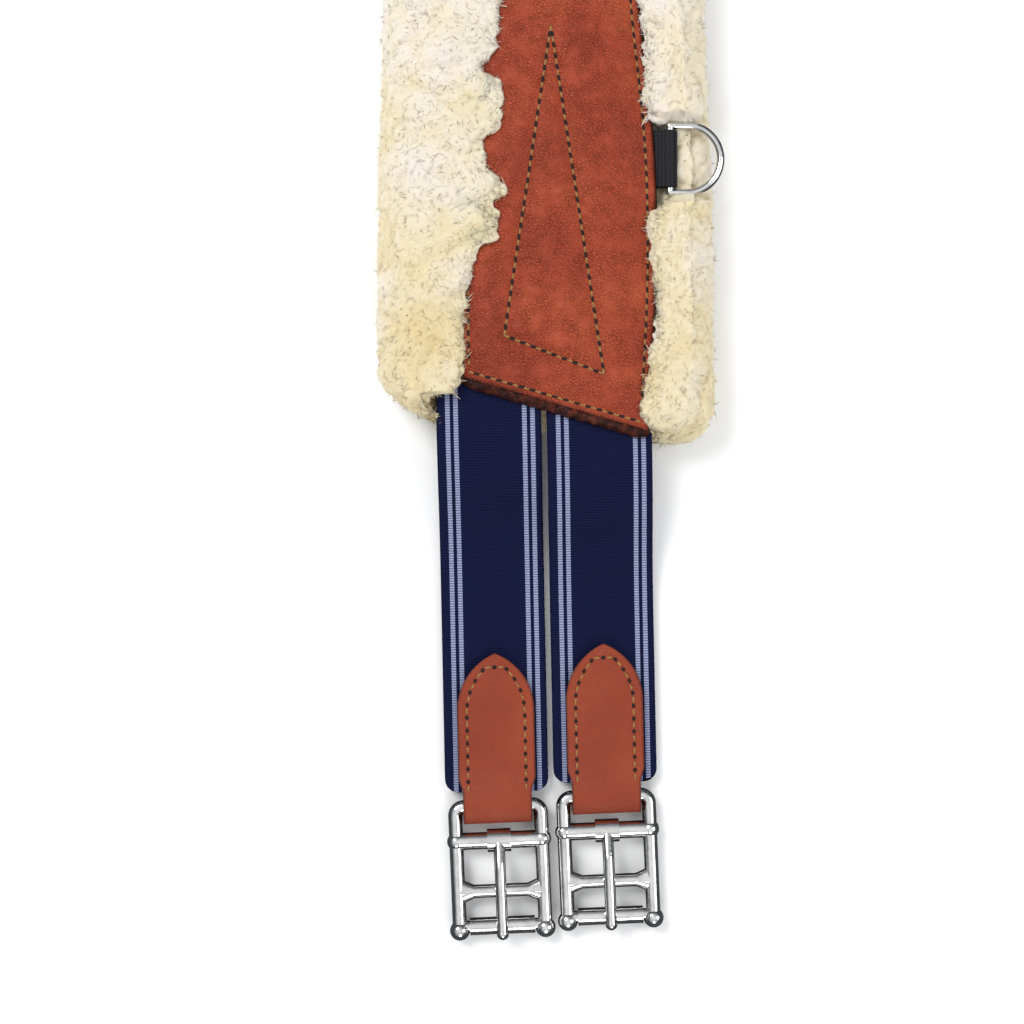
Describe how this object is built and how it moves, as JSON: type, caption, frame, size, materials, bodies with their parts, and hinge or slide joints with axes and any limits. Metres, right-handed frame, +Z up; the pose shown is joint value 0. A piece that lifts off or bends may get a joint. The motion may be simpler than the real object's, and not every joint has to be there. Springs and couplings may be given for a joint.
{
  "type": "saddle girth",
  "caption": "Long padded leather girth with a sheepskin lining, elastic straps with roller buckles at both ends and rings on the front edge.",
  "frame": {"origin": "middle of the girth, on the floor that it lies on", "axes": "+X across the girth towards the edge with the rings, +Y along the girth, +Z up, from the wool side to the leather side"},
  "size_m": [0.1276, 1.0994, 0.025],
  "materials": {
    "leather": "smooth tan bridle leather, lightly waxed",
    "chape_leather": "smooth tan bridle leather, edges burnished",
    "thread": "waxed golden tan thread",
    "webbing": "black woven nylon webbing",
    "foam": "felted foam padding",
    "sheepskin": "cream sheepskin wool, tufted",
    "elastic": "ribbed navy elastic with pairs of pale lavender stripes",
    "steel": "bright polished stainless steel"
  },
  "bodies": {
    "centre_body": {"centre_leather_panel": "leather", "centre_edge_stitching": "thread", "centre_strength_web": "webbing", "centre_foam_pad": "foam", "centre_sheepskin_lining": "sheepskin"},
    "near_body": {"near_leather_panel": "leather", "near_edge_stitching": "thread", "near_strength_web": "webbing", "near_foam_pad": "foam", "near_sheepskin_lining": "sheepskin", "near_triangle_stitching": "thread", "near_ring_loop": "webbing", "near_rear_elastic_anchor": "elastic", "near_front_elastic_anchor": "elastic"},
    "near_ring": {"near_dee_ring": "steel"},
    "near_rear_strap": {"near_rear_elastic": "elastic"},
    "near_rear_end": {"near_rear_chape": "chape_leather", "near_rear_chape_stitching": "thread"},
    "near_rear_buckle": {"near_rear_buckle_frame": "steel"},
    "near_rear_tongue": {"near_rear_tongue": "steel"},
    "near_rear_roller": {"near_rear_roller": "steel"},
    "near_front_strap": {"near_front_elastic": "elastic"},
    "near_front_end": {"near_front_chape": "chape_leather", "near_front_chape_stitching": "thread"},
    "near_front_buckle": {"near_front_buckle_frame": "steel"},
    "near_front_tongue": {"near_front_tongue": "steel"},
    "near_front_roller": {"near_front_roller": "steel"},
    "far_body": {"far_leather_panel": "leather", "far_edge_stitching": "thread", "far_strength_web": "webbing", "far_foam_pad": "foam", "far_sheepskin_lining": "sheepskin", "far_triangle_stitching": "thread", "far_ring_loop": "webbing", "far_rear_elastic_anchor": "elastic", "far_front_elastic_anchor": "elastic"},
    "far_ring": {"far_dee_ring": "steel"},
    "far_rear_strap": {"far_rear_elastic": "elastic"},
    "far_rear_end": {"far_rear_chape": "chape_leather", "far_rear_chape_stitching": "thread"},
    "far_rear_buckle": {"far_rear_buckle_frame": "steel"},
    "far_rear_tongue": {"far_rear_tongue": "steel"},
    "far_rear_roller": {"far_rear_roller": "steel"},
    "far_front_strap": {"far_front_elastic": "elastic"},
    "far_front_end": {"far_front_chape": "chape_leather", "far_front_chape_stitching": "thread"},
    "far_front_buckle": {"far_front_buckle_frame": "steel"},
    "far_front_tongue": {"far_front_tongue": "steel"},
    "far_front_roller": {"far_front_roller": "steel"}
  },
  "joints": [
    {"name": "near_body_fold", "type": "hinge", "parent": "centre_body", "child": "near_body", "pos_m": [0, -0.11, 0.0224], "axis": [1, 0, 0], "range_deg": [0, 42]},
    {"name": "near_ring_swing", "type": "hinge", "parent": "near_body", "child": "near_ring", "pos_m": [0.0438, -0.2602, 0.0192], "axis": [0, -1, 0], "range_deg": [0, 122]},
    {"name": "near_rear_strap_lift", "type": "hinge", "parent": "near_body", "child": "near_rear_strap", "pos_m": [-0.0226, -0.3535, 0.0182], "axis": [-0.9998, -0.0209, 0], "range_deg": [0, 80]},
    {"name": "near_rear_elastic_stretch", "type": "slide", "parent": "near_rear_strap", "child": "near_rear_end", "axis": [0.0209, -0.9998, 0], "range_m": [0, 0.045], "stiffness_N_per_m": 2000},
    {"name": "near_rear_buckle_swing", "type": "hinge", "parent": "near_rear_end", "child": "near_rear_buckle", "pos_m": [-0.01954, -0.49937, 0.00488], "axis": [-0.9991, -0.0419, 0], "range_deg": [-100, 80]},
    {"name": "near_rear_tongue_swing", "type": "hinge", "parent": "near_rear_buckle", "child": "near_rear_tongue", "pos_m": [-0.01901, -0.51216, 0.00488], "axis": [-0.9991, -0.0419, 0], "range_deg": [0, 90]},
    {"name": "near_rear_roller_spin", "type": "hinge", "parent": "near_rear_buckle", "child": "near_rear_roller", "pos_m": [-0.01768, -0.54393, 0.00488], "axis": [0.9991, 0.0419, 0], "continuous": true},
    {"name": "near_front_strap_lift", "type": "hinge", "parent": "near_body", "child": "near_front_strap", "pos_m": [0.018, -0.365, 0.0182], "axis": [-0.9998, -0.0209, 0], "range_deg": [0, 80]},
    {"name": "near_front_elastic_stretch", "type": "slide", "parent": "near_front_strap", "child": "near_front_end", "axis": [0.0209, -0.9998, 0], "range_m": [0, 0.045], "stiffness_N_per_m": 2000},
    {"name": "near_front_buckle_swing", "type": "hinge", "parent": "near_front_end", "child": "near_front_buckle", "pos_m": [0.02074, -0.49577, 0.00488], "axis": [-0.9991, -0.0419, 0], "range_deg": [-100, 80]},
    {"name": "near_front_tongue_swing", "type": "hinge", "parent": "near_front_buckle", "child": "near_front_tongue", "pos_m": [0.02128, -0.50856, 0.00488], "axis": [-0.9991, -0.0419, 0], "range_deg": [0, 90]},
    {"name": "near_front_roller_spin", "type": "hinge", "parent": "near_front_buckle", "child": "near_front_roller", "pos_m": [0.02261, -0.54033, 0.00488], "axis": [0.9991, 0.0419, 0], "continuous": true},
    {"name": "far_body_fold", "type": "hinge", "parent": "centre_body", "child": "far_body", "pos_m": [0, 0.11, 0.0224], "axis": [-1, 0, 0], "range_deg": [0, 42]},
    {"name": "far_ring_swing", "type": "hinge", "parent": "far_body", "child": "far_ring", "pos_m": [0.0438, 0.2602, 0.0192], "axis": [0, -1, 0], "range_deg": [0, 122]},
    {"name": "far_rear_strap_lift", "type": "hinge", "parent": "far_body", "child": "far_rear_strap", "pos_m": [-0.0226, 0.3535, 0.0182], "axis": [0.9998, -0.0209, 0], "range_deg": [0, 80]},
    {"name": "far_rear_elastic_stretch", "type": "slide", "parent": "far_rear_strap", "child": "far_rear_end", "axis": [0.0209, 0.9998, 0], "range_m": [0, 0.045], "stiffness_N_per_m": 2000},
    {"name": "far_rear_buckle_swing", "type": "hinge", "parent": "far_rear_end", "child": "far_rear_buckle", "pos_m": [-0.01954, 0.49937, 0.00488], "axis": [0.9991, -0.0419, 0], "range_deg": [-100, 80]},
    {"name": "far_rear_tongue_swing", "type": "hinge", "parent": "far_rear_buckle", "child": "far_rear_tongue", "pos_m": [-0.01901, 0.51216, 0.00488], "axis": [0.9991, -0.0419, 0], "range_deg": [0, 90]},
    {"name": "far_rear_roller_spin", "type": "hinge", "parent": "far_rear_buckle", "child": "far_rear_roller", "pos_m": [-0.01768, 0.54393, 0.00488], "axis": [-0.9991, 0.0419, 0], "continuous": true},
    {"name": "far_front_strap_lift", "type": "hinge", "parent": "far_body", "child": "far_front_strap", "pos_m": [0.018, 0.365, 0.0182], "axis": [0.9998, -0.0209, 0], "range_deg": [0, 80]},
    {"name": "far_front_elastic_stretch", "type": "slide", "parent": "far_front_strap", "child": "far_front_end", "axis": [0.0209, 0.9998, 0], "range_m": [0, 0.045], "stiffness_N_per_m": 2000},
    {"name": "far_front_buckle_swing", "type": "hinge", "parent": "far_front_end", "child": "far_front_buckle", "pos_m": [0.02074, 0.49577, 0.00488], "axis": [0.9991, -0.0419, 0], "range_deg": [-100, 80]},
    {"name": "far_front_tongue_swing", "type": "hinge", "parent": "far_front_buckle", "child": "far_front_tongue", "pos_m": [0.02128, 0.50856, 0.00488], "axis": [0.9991, -0.0419, 0], "range_deg": [0, 90]},
    {"name": "far_front_roller_spin", "type": "hinge", "parent": "far_front_buckle", "child": "far_front_roller", "pos_m": [0.02261, 0.54033, 0.00488], "axis": [-0.9991, 0.0419, 0], "continuous": true}
  ]
}
